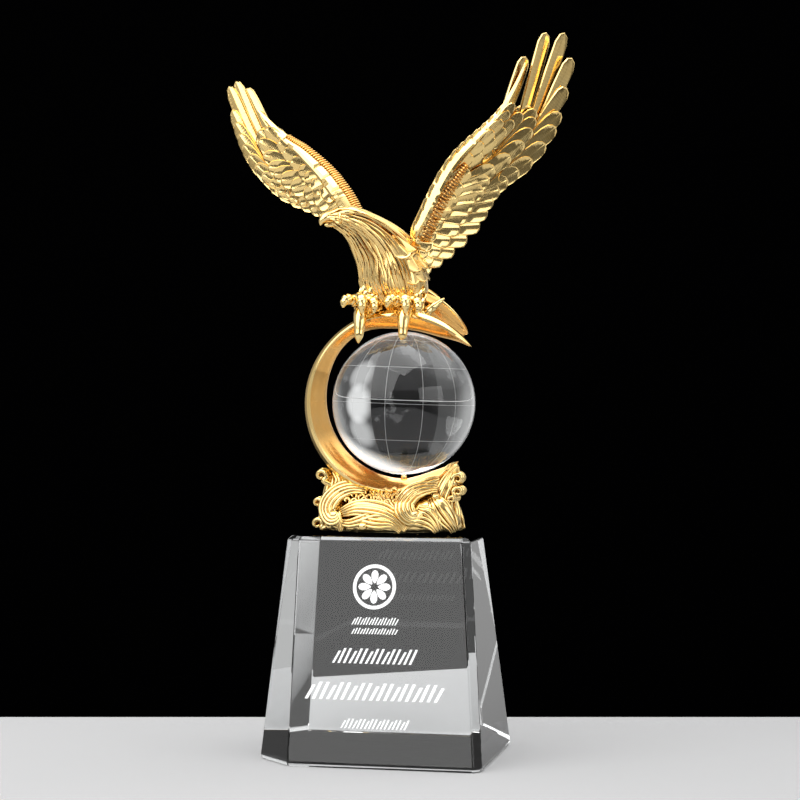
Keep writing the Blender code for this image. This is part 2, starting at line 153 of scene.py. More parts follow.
# The room's soft walls: their direction as the camera sees it, brightness, and inner and outer half angle
SOFT_WALLS = (
    (1.0, -0.1, 0.3, 0.55, 15, 55), (-1.0, 0.1, 0.25, 0.5, 15, 55), (0.5, 0.86, 0.0, 0.75, 5, 14),
    (0.48, 0.82, 0.32, 0.45, 4, 13), (0.48, 0.82, -0.32, 0.45, 4, 13), (0.0, -0.75, 0.85, 0.25, 20, 60),
    (0.0, -1.0, 0.1, 0.06, 20, 70), (0.45, 0.15, 0.9, 1.5, 15, 45),
)
ROOM_GLOW = 0.05

room = bpy.data.worlds.new("soft_room")
bpy.context.scene.world = room
room.use_nodes = True
walls = Wiring(room.node_tree)
direction = walls.node("TexCoord")
glow = ROOM_GLOW
for right, ahead, up, brightness, inner, outer in SOFT_WALLS:
    towards = (view_right * right + view_ahead * ahead + Vector((0.0, 0.0, up))).normalized()
    near = walls.node("VectorMath", 1, {"operation": "DOT_PRODUCT"}, i0=direction, i1=towards)
    lit = walls.node(
        "MapRange", 0, {"interpolation_type": "SMOOTHSTEP"}, Value=near,
        From_Min=math.cos(math.radians(outer)), From_Max=math.cos(math.radians(inner)),
    )
    glow = lit * brightness + glow
room.node_tree.links.new(glow.socket, room.node_tree.nodes["Background"].inputs["Color"])
bpy.context.scene.view_settings.view_transform = "Standard"


def studio_sheet(name, matrix, colour, roughness):
    """A flat sheet of the studio with a plain paint."""
    shape = bmesh.new()
    bmesh.ops.create_grid(shape, x_segments=1, y_segments=1, size=0.5)
    bmesh.ops.transform(shape, matrix=Matrix.Rotation(CAMERA_TURN, 4, "Z") @ matrix, verts=shape.verts)
    mesh = bpy.data.meshes.new(name)
    shape.to_mesh(mesh)
    shape.free()
    sheet = bpy.data.objects.new(name, mesh)
    bpy.context.scene.collection.objects.link(sheet)
    paint = bpy.data.materials.new(name + "_paint")
    paint.use_nodes = True
    shader = paint.node_tree.nodes["Principled BSDF"]
    for label, value in (("Base Color", colour), ("Roughness", roughness), ("Specular IOR Level", 0.0)):
        shader.inputs[label].default_value = value
    mesh.materials.append(paint)


studio_sheet(
    "studio_table",
    Matrix.Translation(((TABLE_RIGHT - TABLE_LEFT) / 2, (TABLE_EDGE - TABLE_FRONT) / 2, 0.0))
    @ Matrix.Diagonal((TABLE_RIGHT + TABLE_LEFT, TABLE_EDGE + TABLE_FRONT, 1.0, 1.0)),
    TABLE_PAINT, 0.6,
)
studio_sheet(
    "studio_cloth",
    Matrix.Translation((0.0, CLOTH_BEHIND, 0.0)) @ Matrix.Rotation(math.pi / 2, 4, "X")
    @ Matrix.Diagonal((CLOTH_WIDTH, CLOTH_HEIGHT, 1.0, 1.0)),
    CLOTH_PAINT, 1.0,
)


# Crystal plinth: one block of clear optical glass, sawn and polished flat, with a wide cut at its
# front left corner. Every edge is eased by hand on the wheel, so it shows as a fine bright line.
EASED_EDGE = 0.0005


class Finish(Wiring):
    """A new material with one Principled shader, whose set values go straight onto its sockets."""

    def __init__(self, name, **values):
        self.material = bpy.data.materials.new(name)
        self.material.use_nodes = True
        super().__init__(self.material.node_tree)
        self.shader = self.tree.nodes["Principled BSDF"]
        for label, value in values.items():
            self.shader.inputs[label.replace("_", " ")].default_value = value

    def feed(self, label, wire):
        self.tree.links.new(wire.socket, self.shader.inputs[label])

    def blend(self, share, first, second):
        """Two colours mixed, by a share from 0 to 1."""
        return self.node("Mix", 2, {"data_type": "RGBA"}, i0=share, i6=first, i7=second)


def finished(name, shape, materials, node, smooth_angle=None):
    """The shape as a piece of the trophy, its faces outwards, in place of a node of the frame."""
    bmesh.ops.recalc_face_normals(shape, faces=shape.faces)
    mesh = bpy.data.meshes.new(name)
    shape.to_mesh(mesh)
    shape.free()
    for material in materials:
        mesh.materials.append(material)
    if smooth_angle is not None:
        mesh.shade_smooth()
        mesh.set_sharp_from_angle(angle=math.radians(smooth_angle))
    piece = bpy.data.objects.new(name, mesh)
    bpy.context.scene.collection.objects.link(piece)
    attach(piece, "root")
    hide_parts(node)


clear = (0.97, 0.985, 0.985, 1.0)
crystal = Finish("polished_crystal", Base_Color=clear, IOR=1.52, Transmission_Weight=1.0)
polish = crystal.node("TexNoise", Vector=crystal.node("TexCoord", output=3), Scale=90.0, Detail=3.0)
crystal.feed("Roughness", polish * 0.01)

plinth_shape = bmesh.new()
plinth_shape.from_mesh(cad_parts["crystal_plinth"].data)
bmesh.ops.remove_doubles(plinth_shape, verts=plinth_shape.verts, dist=0.00001)
bmesh.ops.dissolve_limit(
    plinth_shape, angle_limit=math.radians(0.5), verts=plinth_shape.verts, edges=plinth_shape.edges,
)
bmesh.ops.bevel(
    plinth_shape, geom=plinth_shape.edges[:], offset=EASED_EDGE, offset_type="OFFSET", segments=2,
    profile=0.5, affect="EDGES", material=-1,
)
finished("polished_plinth", plinth_shape, [crystal.material], "crystal_plinth")


# Etched front of the plinth: a rosette in a ring and rows of slanting strokes, sandblasted a fraction
# of a millimetre into the sloping front face, left white and made to glow faintly with painted light.
# The strokes aren't letters.
FACE_FOOT = -0.0412
FACE_SLOPE = 0.02115 / 0.0927
ETCH_DEPTH = 0.00012
ROSETTE = (0.0006, 0.0725)
ROSETTE_RADIUS = 0.0091
PETALS = 8
PETAL_POINTS = 12
RING_PIECES = 48
RING_INSIDE = 0.84
# Rows of strokes: left and right end, foot, height and number
STROKE_ROWS = (
    (-0.008, 0.0113, 0.0572, 0.003, 16), (-0.008, 0.0113, 0.0535, 0.0024, 16),
    (-0.015, 0.0195, 0.0417, 0.006, 15), (-0.0257, 0.0313, 0.0272, 0.0068, 19),
    (-0.0103, 0.0177, 0.016, 0.0038, 17),
)


def on_front(x, z, out=0.0):
    """A point of the plinth's front face, moved outwards by out."""
    normal = Vector((0.0, -1.0, FACE_SLOPE)).normalized()
    return Vector((x, FACE_FOOT + FACE_SLOPE * z, z)) + normal * out


def etched(shape, outline):
    """A thin white slab with the given outline on the front face."""
    made = bmesh.ops.create_circle(shape, cap_ends=True, radius=1.0, segments=len(outline))["verts"]
    order = sorted(made, key=lambda vert: math.atan2(vert.co.y, vert.co.x))
    for vert, (x, z) in zip(order, outline):
        vert.co = on_front(x, z, 0.00002)
    faces = list({face for vert in made for face in vert.link_faces})
    raised = bmesh.ops.extrude_face_region(shape, geom=faces)["geom"]
    sunk = [part for part in raised if isinstance(part, bmesh.types.BMVert)]
    bmesh.ops.translate(shape, vec=on_front(0.0, 0.0, -ETCH_DEPTH) - on_front(0.0, 0.0), verts=sunk)


white = (1.0, 1.0, 1.0, 1.0)
# Its white is partly the frost's own and partly painted light: a faint emission makes it glow though it is
# no lamp.
frost_and_glow = Finish("sandblasted_white_and_glow", Roughness=0.75, IOR=1.45, Emission_Color=white, Emission_Strength=0.18)
grit = frost_and_glow.node("TexNoise", Vector=frost_and_glow.node("TexCoord", output=3), Scale=2600.0, Detail=2.0)
frost_and_glow.feed("Base Color", frost_and_glow.blend(grit, (0.86, 0.87, 0.88, 1.0), white))
frost_and_glow.feed("Normal", frost_and_glow.node("Bump", Height=grit, Strength=0.4, Distance=0.00005))

etched_shape = bmesh.new()
for n in range(PETALS):
    middle = math.tau * n / PETALS
    petal = []
    for k in range(PETAL_POINTS):
        turn = -math.pi + math.tau * k / PETAL_POINTS
        reach = ROSETTE_RADIUS * (0.45 + 0.3 * math.cos(turn))
        swing = middle + 0.36 * math.sin(turn) * (1.0 - 0.25 * math.cos(turn))
        petal.append((ROSETTE[0] + reach * math.cos(swing), ROSETTE[1] + reach * math.sin(swing)))
    etched(etched_shape, petal)
for n in range(RING_PIECES):
    start, end = math.tau * n / RING_PIECES, math.tau * (n + 1.02) / RING_PIECES
    corners = []
    for share, turn in ((RING_INSIDE, start), (1.0, start), (1.0, end), (RING_INSIDE, end)):
        reach = ROSETTE_RADIUS * share
        corners.append((ROSETTE[0] + reach * math.cos(turn), ROSETTE[1] + reach * math.sin(turn)))
    etched(etched_shape, corners)
for left, right, foot, height, count in STROKE_ROWS:
    for n in range(count):
        x = left + (right - left) * (n + 0.5) / count
        broad = (right - left) / count * 0.22
        lean = height * 0.22
        top = foot + height * (1.0 if n % 3 else 0.82)
        corners = ((-broad - lean, foot), (broad - lean, foot), (broad + lean, top), (lean - broad, top))
        etched(etched_shape, [(x + across, z) for across, z in corners])
finished("etched_strokes_and_rosette", etched_shape, [frost_and_glow.material], "crystal_plinth")


# Crystal globe: a ball of the same glass, ground and polished, with a map of meridians, parallels
# and land etched just under its skin. It rests on the small seat of the crescent.
LINE_RADIUS = 0.00005
MAP_DEPTH = 0.00015
MAP_TILT = math.radians(2)
MAP_TURN = math.radians(27.5)
LAND_LEVEL = 0.6
LAND_DENSITY = 0.13
globe_low, globe_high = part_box("crystal_globe")
globe_centre = (Vector(globe_low) + Vector(globe_high)) / 2
globe_radius = (globe_high[2] - globe_low[2]) / 2

globe_shape = bmesh.new()
bmesh.ops.create_uvsphere(globe_shape, u_segments=128, v_segments=64, radius=globe_radius)
bmesh.ops.translate(globe_shape, vec=globe_centre, verts=globe_shape.verts)
finished("polished_globe", globe_shape, [crystal.material], "crystal_globe", 180)

land = Finish("etched_land", Roughness=0.8, IOR=1.45)
spot = land.node("TexCoord", output=3)
coast = land.node("TexNoise", Vector=spot, Scale=34.0, Detail=6.0, Roughness=0.62)
grit = land.node("TexNoise", Vector=spot, Scale=2600.0, Detail=2.0)
land.feed("Base Color", land.blend(grit, (0.8, 0.82, 0.84, 1.0), white))
land.feed("Alpha", (coast > LAND_LEVEL) * LAND_DENSITY)
land_shape = bmesh.new()
bmesh.ops.create_uvsphere(land_shape, u_segments=96, v_segments=48, radius=globe_radius - 2 * MAP_DEPTH)
bmesh.ops.translate(land_shape, vec=globe_centre, verts=land_shape.verts)
finished("etched_map", land_shape, [land.material], "crystal_globe", 180)

lines_shape = bmesh.new()
map_turn = Matrix.Rotation(MAP_TILT, 4, "Y") @ Matrix.Rotation(MAP_TURN, 4, "Z")
map_place = Matrix.Translation(globe_centre) @ map_turn
upright = Matrix.Rotation(math.pi / 2, 4, "X")
line_reach = globe_radius - MAP_DEPTH
hoops = [(line_reach, 0.0, Matrix.Rotation(math.radians(30 * n), 4, "Z") @ upright) for n in range(6)]
for latitude in (-60, -30, 0, 30, 60):
    angle = math.radians(latitude)
    hoops.append((line_reach * math.cos(angle), line_reach * math.sin(angle), Matrix.Identity(4)))
for reach, rise, turn in hoops:
    hoop = bmesh.new()
    ring = bmesh.ops.create_circle(hoop, cap_ends=False, radius=LINE_RADIUS, segments=5)["verts"]
    bmesh.ops.transform(hoop, matrix=Matrix.Translation((reach, 0.0, 0.0)) @ upright, verts=ring)
    bmesh.ops.spin(
        hoop, geom=hoop.verts[:] + hoop.edges[:], cent=(0.0, 0.0, 0.0), axis=(0.0, 0.0, 1.0),
        angle=math.tau, steps=90, use_merge=True,
    )
    place = map_place @ turn @ Matrix.Translation((0.0, 0.0, rise))
    bmesh.ops.transform(hoop, matrix=place, verts=hoop.verts)
    hoop_mesh = bpy.data.meshes.new("hoop")
    hoop.to_mesh(hoop_mesh)
    hoop.free()
    lines_shape.from_mesh(hoop_mesh)
    bpy.data.meshes.remove(hoop_mesh)
# The meridians and parallels are in the same frost, with its faint painted glow.
finished("etched_meridians", lines_shape, [frost_and_glow.material], "crystal_globe", 60)


# Gilt crescent: part of the lower casting, polished and plated with gold. Its face has a narrow outer
# bevel, a bright raised rim and a wide inner band, and it thins to a horn at either end.
PLINTH_HEIGHT = 0.0927
RING_RADIUS = 0.0394
RING_FOOT = 0.0157
RING_OFFSET = 0.0053
RING_THICKNESS = 0.0088
RING_DEPTH = 0.0205
RING_TUCK = 0.004
HORN_DEPTH = 0.42
RECESS_REACH = 0.0022
RING_START = math.radians(37)
RING_END = math.radians(317)
RING_TAPER = (0.05, 0.7, 0.9, 0.86, 0.66, 0.64, 0.78, 0.9, 0.99, 1.05, 1.04, 0.97, 0.86, 0.62, 0.06)
RIM_FROM = 0.19
BAND_FROM = 0.36
# The face from the outer rim to the inner one: shares of the thickness and of the half depth
FACE_STEPS = (
    (0.0, 0.0), (0.0, 0.4), (0.01, 0.66), (0.04, 0.7), (0.19, 0.87), (0.2, 0.94), (0.23, 0.96),
    (0.33, 1.0), (0.37, 0.88), (0.6, 0.66), (0.82, 0.42), (0.96, 0.18), (1.0, 0.0),
)
blanks = {}


def skin(shape, around, along, at, material=0):
    """A closed skin: at(turn, share) places each point of a sphere, whose poles are share 0 and 1."""
    if (around, along) not in blanks:
        blank = bmesh.new()
        weave = blank.loops.layers.uv.new("weave")
        bmesh.ops.create_uvsphere(blank, u_segments=around, v_segments=along, radius=1.0)
        blank.verts.index_update()
        marks = [
            (math.atan2(vert.co.y, vert.co.x), math.acos(max(-1.0, min(1.0, vert.co.z))) / math.pi)
            for vert in blank.verts
        ]
        for face in blank.faces:
            for loop in face.loops:
                turn, share = marks[loop.vert.index]
                loop[weave].uv = (0.5 + 0.5 * math.cos(turn), share)
        mesh = bpy.data.meshes.new("blank")
        blank.to_mesh(mesh)
        blank.free()
        blanks[(around, along)] = (mesh, marks)
    mesh, marks = blanks[(around, along)]
    mesh.vertices.foreach_set("co", [value for turn, share in marks for value in at(turn, share)])
    mesh.polygons.foreach_set("material_index", [material] * len(mesh.polygons))
    shape.from_mesh(mesh)


def smooth_through(keys, share):
    """A Catmull-Rom curve through the keys, each a number or a vector, read at a share from 0 to 1."""
    place = min(max(share, 0.0), 1.0) * (len(keys) - 1)
    low = min(int(place), len(keys) - 2)
    t = place - low
    b, c = keys[low], keys[low + 1]
    a = keys[low - 1] if low > 0 else b + (b - c)
    d = keys[low + 2] if low + 2 < len(keys) else c + (c - b)
    bend, twist = a * 2 - b * 5 + c * 4 - d, b * 3 - a - c * 3 + d
    return ((b * 2) + (c - a) * t + bend * t**2 + twist * t**3) * 0.5


def vectors(points):
    return [Vector(point) for point in points]


def heading(line, share, step=0.01):
    """Where a smooth line runs to at a share of its length."""
    return smooth_through(line, min(1.0, share + step)) - smooth_through(line, max(0.0, share - step))


def bar_at(line, sizes, flat=1.0, beside=Vector((0.3, 1.0, 0.2)), ripple=0.0, ripples=0):
    """Places a bar of changing radius along a smooth line; ripple raises knuckles along it."""
    known = {}

    def at(turn, share):
        if share not in known:
            centre = smooth_through(line, share)
            ahead = heading(line, share).normalized()
            side = ahead.cross(beside).normalized()
            end = math.sqrt(max(0.0, 1 - (2 * share - 1) ** 12))
            knuckle = 1 + ripple * math.sin(math.pi * ripples * share) ** 2
            radius = smooth_through(sizes, share) * end * knuckle
            known[share] = (centre, side * radius, ahead.cross(side) * (radius * flat))
        centre, side, across = known[share]
        return centre + side * math.cos(turn) + across * math.sin(turn)

    return at


def gilding(name, light, deep, dullness, grain, combed=0.0, painted_recess_shade=(0.42, 0.2, 0.035, 1.0)):
    """Gold plate: it deepens and dulls in soft clouds over a fine grain, with painted shade, dark brown, in
    its recesses.
    """
    finish = Finish(name, Metallic=1.0)
    where = finish.node("TexCoord", output=3)
    clouds = finish.node("TexNoise", Vector=where, Scale=140.0, Detail=4.0, Roughness=0.6)
    specks = finish.node("TexNoise", Vector=where, Scale=1100.0, Detail=2.0)
    # Where the occlusion node finds a recess, the base colour turns to painted shade, dark brown.
    open_sky = finish.node("AmbientOcclusion", 1, {"samples": 6, "only_local": True}, Distance=RECESS_REACH)
    unshaded_share = finish.node("MapRange", 0, None, Value=open_sky, From_Min=0.25, From_Max=0.7)
    finish.feed("Base Color", finish.blend(unshaded_share, painted_recess_shade, finish.blend(clouds, deep, light)))
    finish.feed("Roughness", specks * (dullness * 0.4) + clouds * (dullness * 0.5) + dullness * 0.5)
    height = specks + clouds * 2.0
    if combed:
        weave = finish.node("TexCoord", output=2)
        barbs = finish.node("TexWave", 1, Vector=weave, Scale=9.0, Distortion=0.6)
        height = height + barbs * combed
    finish.feed("Normal", finish.node("Bump", Height=height, Strength=grain, Distance=0.0002))
    return finish


bright_gilt = gilding("bright_gilt", (1.0, 0.8, 0.38, 1.0), (1.0, 0.66, 0.22, 1.0), 0.12, 0.06)
satin_gilt = gilding(
    "satin_gilt", (1.0, 0.78, 0.36, 1.0), (1.0, 0.62, 0.18, 1.0), 0.2, 0.1, painted_recess_shade=(0.58, 0.31, 0.07, 1.0),
)
orange_gilt = gilding("orange_gilt", (0.95, 0.58, 0.21, 1.0), (0.95, 0.49, 0.12, 1.0), 0.2, 0.04)
ring_centre = Vector((RING_OFFSET, 0.0, PLINTH_HEIGHT + RING_FOOT + RING_RADIUS))


def crescent_at(turn, share):
    half = len(FACE_STEPS) - 1
    step = round((turn % math.tau) / math.tau * 2 * half) % (2 * half)
    face = -1 if step <= half else 1
    inwards, depth = FACE_STEPS[step if step <= half else 2 * half - step]
    angle = RING_START + (RING_END - RING_START) * share
    away = Vector((math.cos(angle), 0.0, math.sin(angle)))
    taper = max(0.0, smooth_through(RING_TAPER, share))
    rim = RING_RADIUS - RING_TUCK * max(0.0, (share - 0.85) / 0.15)
    half_depth = RING_DEPTH / 2 * min(taper, HORN_DEPTH + 0.9 * share)
    sideways = Vector((0.0, face * half_depth * depth, 0.0))
    return ring_centre + away * (rim - RING_THICKNESS * taper * inwards) + sideways


crescent_shape = bmesh.new()
skin(crescent_shape, 24, 160, crescent_at)
for face in crescent_shape.faces:
    middle = face.calc_center_median() - ring_centre
    share = (math.atan2(middle.z, middle.x) % math.tau - RING_START) / (RING_END - RING_START)
    thickness = RING_THICKNESS * max(0.02, smooth_through(RING_TAPER, share))
    inwards = (RING_RADIUS - math.hypot(middle.x, middle.z)) / thickness
    face.material_index = 1 if inwards > BAND_FROM else 2 if inwards > RIM_FROM else 0
seat_low = ring_centre + Vector((globe_centre.x - ring_centre.x, 0.0, -RING_RADIUS + RING_THICKNESS * 0.5))
seat_high = Vector((globe_centre.x, 0.0, globe_centre.z - globe_radius - 0.0002))
seat = [seat_low, seat_low.lerp(seat_high, 0.6), seat_high]
skin(crescent_shape, 16, 16, bar_at(seat, [0.0018, 0.0013, 0.0014]))
crescent_gilts = [satin_gilt.material, orange_gilt.material, bright_gilt.material]
finished("gilt_crescent", crescent_shape, crescent_gilts, "wave_base", 28)


# Gilt waves: the foot of the same casting. Breaking waves are carved in relief as bundles of fine
# strands that sweep over the swell and roll up in curls, chased bright after plating.
BASE_WIDTH = 0.0672
BASE_OFFSET = 0.0011
BASE_DEPTH = 0.034
MOUND_HEIGHT = 0.019
MOUND_WIDTHS = (1.0, 0.98, 0.95, 0.9, 0.82, 0.66, 0.6, 0.55, 0.5)
MOUND_DEPTHS = (1.0, 0.98, 0.93, 0.85, 0.66, 0.36, 0.3, 0.27, 0.22)
MOUND_INSET = 0.94
FRONT_TO_REAR = Vector((0.0, 1.0, 0.0))


def base_point(x, y, z):
    return Vector((BASE_OFFSET + x * BASE_WIDTH, y * BASE_DEPTH, PLINTH_HEIGHT + z * MOUND_HEIGHT))


def on_wave(x, z, lift=0.0, face=-1):
    """A point on the front or rear of the swell, from shares of the base's width and the mound's height."""
    width = smooth_through(MOUND_WIDTHS, z / 1.6) / 2
    depth = smooth_through(MOUND_DEPTHS, z / 1.6) / 2
    bulge = math.sqrt(max(0.08, 1 - (x / max(width, 0.47)) ** 2))
    return base_point(x, face * depth * bulge, z) + Vector((0.0, face * lift, 0.0))


def mound_at(turn, share):
    height = 0.02 + 0.98 * share
    close = math.sqrt(max(0.0, 1 - (2 * share - 1) ** 12)) * MOUND_INSET
    width = smooth_through(MOUND_WIDTHS, height / 1.6) * close
    depth = smooth_through(MOUND_DEPTHS, height / 1.6) * close
    comb = 1 + 0.018 * math.sin(30 * turn + 9 * share)
    return base_point(width * comb * math.cos(turn) / 2, depth * comb * math.sin(turn) / 2, height)


def add_bundle(shape, keys, count, spacing, radius, face, lift=0.0, crown=0.0):
    """Parallel strands along keys on the swell, fine at both ends, over a core that crowns their middle."""
    line = [Vector((x * BASE_WIDTH, z * MOUND_HEIGHT, 0.0)) for x, z in keys]
    core = []
    for n in range(count + 1):
        offset = (n - (count - 1) / 2) * spacing if n < count else 0.0
        points = []
        for k in range(len(line) * 2 - 1):
            share = k / (len(line) * 2 - 2)
            here = smooth_through(line, share)
            ahead = heading(line, share, 0.02)
            beside = Vector((-ahead.y, ahead.x, 0.0)).normalized()
            spread = 0.5 + 0.65 * math.sin(math.pi * min(1.0, share * 1.1))
            here = here + beside * (offset * spread)
            edge = 2 * offset / (spacing * count)
            arch = crown * (1 - edge * edge) * math.sin(math.pi * min(0.92, 0.12 + share))
            rise = lift + arch if n < count else lift * 0.4
            points.append(on_wave(here.x / BASE_WIDTH, max(0.05, here.y / MOUND_HEIGHT), rise, face))
        if n == count:
            core = points
            continue
        middle = 1 - 0.25 * abs(offset) / (spacing * count)
        sizes = [radius * middle * share for share in (0.45, 0.95, 1.1, 1.0, 0.85, 0.4)]
        skin(shape, 8, 30, bar_at(points, sizes, 1.25, FRONT_TO_REAR))
    half = spacing * count * 0.45
    sizes = [half * share for share in (0.35, 0.85, 1.0, 0.9, 0.6, 0.25)]
    skin(shape, 12, 24, bar_at(core, sizes, (0.0006 + crown) / half, FRONT_TO_REAR))


def add_sheaf(shape, line, sizes, depth, strands):
    """An upright swell: a round core under strands that run up its length and wind a little."""
    points = [base_point(x, 0.0, z) for x, z in line]
    core = bar_at(points, [size * MOUND_HEIGHT for size in sizes], depth, FRONT_TO_REAR)
    skin(shape, 24, 24, core)
    for n in range(strands):
        turn = math.tau * n / strands
        run = [core(turn + 0.5 * share, share) for share in (0.03, 0.2, 0.4, 0.6, 0.8, 0.96)]
        skin(shape, 8, 24, bar_at(run, [0.0006, 0.001, 0.001, 0.0008, 0.0007, 0.0003], 1.0))


def add_roll(shape, centre, radius, turn, start, tail, half_depth, strands):
    """A curl of the wave's edge: strands side by side through its depth that roll in on themselves."""
    size = radius * MOUND_HEIGHT
    for n in range(strands):
        side = -1 + 2 * n / (strands - 1)
        middle = base_point(centre[0], 0.0, centre[1]) + FRONT_TO_REAR * (side * half_depth)
        bulge = 1 - 0.2 * side * side
        roll = []
        for k in range(14):
            share = k / 13
            angle = math.radians(start) + turn * math.radians(400) * share
            reach = size * bulge * (1.05 - 0.8 * share)
            roll.append(middle + Vector((reach * math.cos(angle), 0.0, reach * math.sin(angle))))
        line = [base_point(x, 0.0, z) + FRONT_TO_REAR * (side * half_depth * 0.9) for x, z in tail] + roll
        sizes = [size * (0.5 - 0.32 * (k / (len(line) - 1)) ** 0.8) for k in range(len(line))]
        skin(shape, 10, 56, bar_at(line, sizes, 1.3, FRONT_TO_REAR))


# Rolls on the silhouette: centre, radius, turning sense, starting angle, tail, half depth and strands
ROLLS = (
    ((-0.425, 1.29), 0.17, 1, -60, ((-0.325, 0.55), (-0.3, 0.95)), 0.0036, 4),
    ((-0.44, 0.69), 0.14, 1, -60, ((-0.35, 0.3), (-0.335, 0.55)), 0.0058, 5),
    ((-0.432, 0.225), 0.165, 1, -40, ((-0.33, 0.12), (-0.33, 0.2)), 0.0078, 6),
    ((0.45, 1.24), 0.165, -1, 230, ((0.37, 0.6), (0.385, 0.95)), 0.0032, 4),
    ((0.455, 0.96), 0.14, -1, 220, ((0.38, 0.45), (0.38, 0.7)), 0.0044, 4),
    ((0.42, 0.79), 0.1, -1, 220, ((0.37, 0.4), (0.365, 0.6)), 0.0064, 5),
)
# Upright swells at both ends, the right one up into the horn: their line, sizes, depth and strands
SHEAVES = (
    (((-0.3, 0.1), (-0.33, 0.7), (-0.335, 1.08), (-0.352, 1.36)), (0.36, 0.3, 0.24, 0.08), 1.15, 12),
    (((0.36, 0.06), (0.345, 0.7), (0.375, 1.15), (0.432, 1.62)), (0.44, 0.3, 0.26, 0.08), 1.15, 14),
)
# Strands on the face of the swell: their line, number, spacing, radius, lift and crown
SWEEPS = (
    (((-0.345, 1.42), (-0.297, 1.206), (-0.312, 0.995), (-0.317, 0.77), (-0.35, 0.5)), 3, 0.0014,
     0.0009, 0.001, 0.0006),
    (((-0.1, 1.0), (-0.2, 1.05), (-0.29, 0.95), (-0.345, 0.73), (-0.352, 0.52), (-0.318, 0.38),
     (-0.278, 0.42), (-0.29, 0.5)), 5, 0.0015, 0.0011, 0.0018, 0.0018),
    (((-0.273, 0.475), (-0.176, 0.6), (-0.071, 0.61), (0.034, 0.54), (0.122, 0.341), (0.177, 0.12)), 5,
     0.00135, 0.00086, 0.001, 0.0014),
    (((-0.279, 0.315), (-0.195, 0.28), (-0.099, 0.375), (-0.023, 0.451), (0.055, 0.397), (0.123, 0.15)),
     3, 0.00135, 0.0008, 0.0012, 0.001),
    (((-0.42, 0.42), (-0.33, 0.46), (-0.27, 0.33), (-0.25, 0.08)), 3, 0.0014, 0.0009, 0.0012, 0.001),
    (((-0.13, 0.26), (-0.105, 0.33), (-0.055, 0.3), (0.01, 0.275), (0.072, 0.26), (0.14, 0.08)), 3,
     0.00135, 0.00085, 0.0014, 0.001),
    (((0.345, 1.06), (0.265, 1.05), (0.19, 0.95), (0.15, 0.74), (0.16, 0.55), (0.198, 0.41),
     (0.24, 0.44), (0.225, 0.53)), 5, 0.00145, 0.00105, 0.0018, 0.0018),
    (((0.345, 1.25), (0.286, 1.181), (0.206, 1.049), (0.13, 0.9)), 3, 0.00135, 0.0009, 0.0012, 0.0008),
    (((0.3, 0.88), (0.34, 0.7), (0.38, 0.5), (0.42, 0.28), (0.45, 0.08)), 5, 0.00145, 0.00082,
     0.001, 0.0008),
    (((0.225, 0.6), (0.285, 0.52), (0.33, 0.36), (0.365, 0.1)), 4, 0.00135, 0.00082, 0.001, 0.0008),
    (((0.18, 0.33), (0.25, 0.34), (0.306, 0.26), (0.35, 0.08)), 3, 0.00135, 0.00082, 0.0018, 0.001),
)
# Round ends inside the curls: their place and radius
KNOBS = ((-0.101, 0.22, 0.0017), (0.214, 0.485, 0.0017), (-0.302, 0.45, 0.0016), (0.33, 0.86, 0.0014))
FAN_STRANDS = 8
FOAM_CURLS = 26
FOAM_HOOK = ((-0.012, -0.07), (-0.018, 0.0), (0.0, 0.045), (0.016, 0.01), (0.006, -0.03))

waves_shape = bmesh.new()
skin(waves_shape, 180, 26, mound_at)
for line, sizes, depth, strands in SHEAVES:
    add_sheaf(waves_shape, line, sizes, depth, strands)
for centre, radius, turn, start, tail, half_depth, strands in ROLLS:
    add_roll(waves_shape, centre, radius, turn, start, tail, half_depth, strands)
random.seed(11)
for face in (-1, 1):
    for keys, count, spacing, radius, lift, crown in SWEEPS:
        add_bundle(waves_shape, keys, count, spacing, radius, face, lift, crown)
    for n in range(FAN_STRANDS):
        fan = n / (FAN_STRANDS - 1)
        top = (-0.11 + 0.245 * fan, 0.985 - 0.06 * fan)
        foot = (0.075 + 0.105 * fan, 0.52 - 0.26 * fan)
        middle = ((top[0] + foot[0]) / 2 + 0.014, (top[1] + foot[1]) / 2)
        add_bundle(waves_shape, (top, middle, foot), 1, 0.001, 0.00072, face, 0.001)
    for n in range(FOAM_CURLS):
        share = n / (FOAM_CURLS - 1)
        x = -0.26 + 0.44 * share + random.uniform(-0.006, 0.006)
        z = 0.965 - 0.1 * (n % 3) + random.uniform(-0.02, 0.02)
        turn = 1 if n % 2 else -1
        hook = [(x + across * turn, z + up) for across, up in FOAM_HOOK]
        add_bundle(waves_shape, hook, 1, 0.001, 0.00062, face, 0.0018)
    for x, z, size in KNOBS:
        knob = on_wave(x, z, 0.0022, face)
        reach = Vector((size, 0.0, 0.0))
        ends = bar_at([knob - reach, knob, knob + reach], [size * 0.9, size, size * 0.9])
        skin(waves_shape, 14, 14, ends)
finished("gilt_waves", waves_shape, [bright_gilt.material], "wave_base", 60)


# Gilt eagle, body and head: a casting of its own, chased and plated. The neck and breast carry rows
# of long pointed hackles, the flank large scales. Points are shares of its height above the crescent.
EAGLE_HEIGHT = 0.118
EAGLE_TURN = math.radians(12.5)
HACKLE_ROWS = 17
HACKLE_PITCH = 0.011
FLANK_TOP = 0.42
FLANK_FROM = 0.62
FLANK_ROWS = 6
FLANK_SCALES = 6
perch = ring_centre.z + RING_RADIUS
eagle_stand = Matrix.Translation((0.0, 0.0, perch)) @ Matrix.Rotation(EAGLE_TURN, 4, "Z")
eagle_stand = eagle_stand @ Matrix.Scale(EAGLE_HEIGHT, 4)


def cast_with_eagle(name, shape, gilts, smooth_angle):
    """A part of the eagle's casting, scaled and stood on the crescent."""
    bmesh.ops.transform(shape, matrix=eagle_stand, verts=shape.verts)
    finished(name, shape, gilts, "eagle", smooth_angle)


